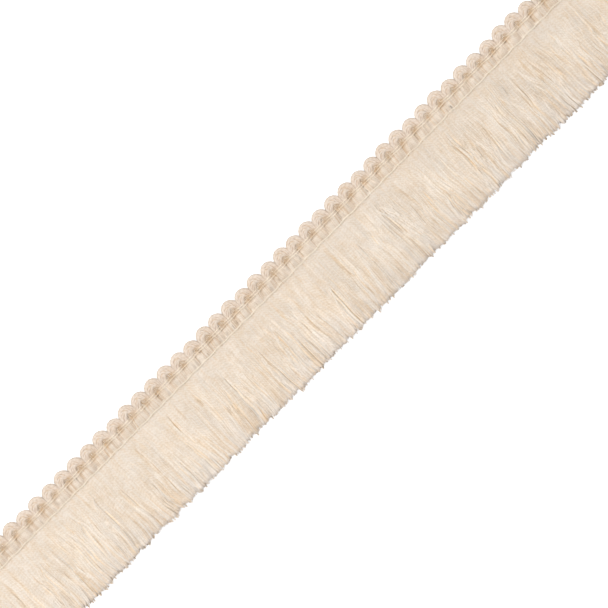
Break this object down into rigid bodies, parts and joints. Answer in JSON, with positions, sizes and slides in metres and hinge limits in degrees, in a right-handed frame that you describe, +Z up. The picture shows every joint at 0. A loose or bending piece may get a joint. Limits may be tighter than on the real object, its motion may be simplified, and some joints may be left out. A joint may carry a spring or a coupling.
{
  "type": "brush fringe",
  "caption": "A straight cut length of cream cotton brush fringe, 50 mm deep, lying face up and flat, with a scalloped cord heading and a dense skirt of cut threads.",
  "frame": {"origin": "On the flat surface that the back of the trim lies on, in the middle of its length and of its width.", "axes": "+X along the trim from one cut end to the other, +Y across it towards the scalloped edge of the heading, +Z up from its back to its face"},
  "size_m": [0.4, 0.05, 0.004],
  "materials": {
    "brush_yarn": "matt cream cotton threads, cut at the ends",
    "cord_yarn": "soft cream cord of many fine parallel threads",
    "front_yarn": "matt cream threads laid over the cord",
    "binding_thread": "fine cream binding thread with a slight sheen"
  },
  "bodies": {
    "root": {"brush_skirt": "brush_yarn", "scallop_cord": "cord_yarn", "heading_front": "front_yarn", "upper_binding_1": "binding_thread", "upper_binding_2": "binding_thread", "lower_binding": "binding_thread"}
  },
  "joints": []
}
